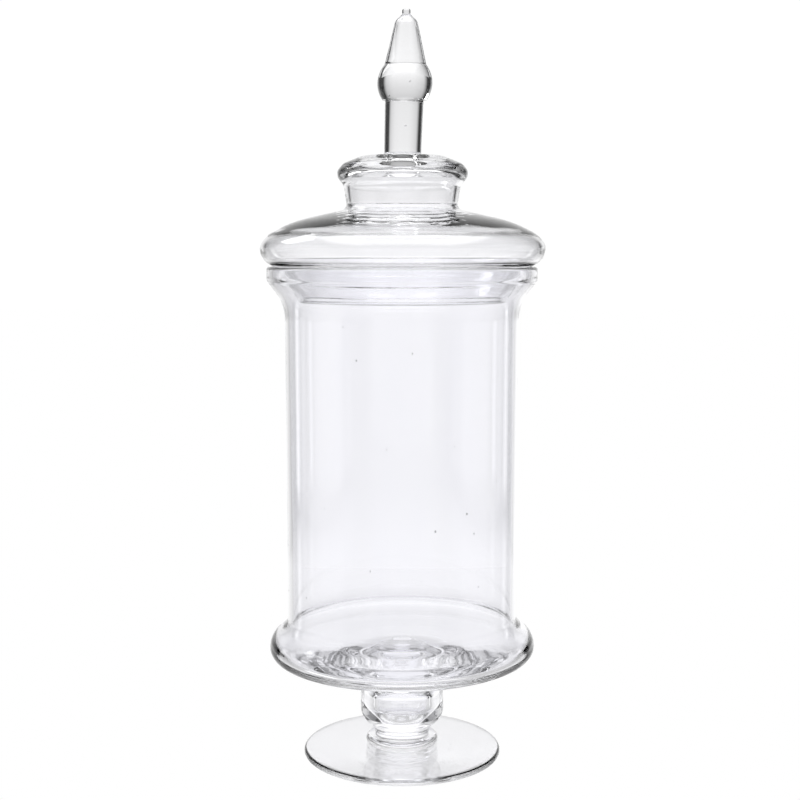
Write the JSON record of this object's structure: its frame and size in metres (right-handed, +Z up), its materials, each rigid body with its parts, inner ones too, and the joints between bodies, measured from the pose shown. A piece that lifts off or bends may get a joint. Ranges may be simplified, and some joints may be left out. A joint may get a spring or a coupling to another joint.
{
  "type": "apothecary jar",
  "caption": "Tall clear glass apothecary jar on a knopped foot, with a flanged lift-off domed lid that ends in a rod, ball and spire finial.",
  "frame": {"origin": "middle of the foot's underside, on the surface the jar stands on", "axes": "+Z up along the jar's turning axis, from the foot to the finial; +X and +Y are any two level directions, because every piece is round"},
  "size_m": [0.1928, 0.1928, 0.5082],
  "materials": {
    "vessel_glass": "clear mouth-blown glass, fire-polished",
    "lid_glass": "clear mouth-blown glass, fire-polished",
    "stem_glass": "clear thick worked glass, fire-polished",
    "foot_glass": "clear worked glass plate, fire-polished edge",
    "finial_glass": "clear solid worked glass, fire-polished"
  },
  "bodies": {
    "jar": {"foot": "foot_glass", "stem_merese": "stem_glass", "stem_knop": "stem_glass", "vessel": "vessel_glass"},
    "lid": {"lid_cover": "lid_glass", "finial_rod": "finial_glass", "finial_ball": "finial_glass", "finial_spire": "finial_glass"}
  },
  "joints": [
    {"name": "lid_lift", "type": "slide", "parent": "jar", "child": "lid", "axis": [0, 0, 1], "range_m": [0, 0.12]}
  ]
}
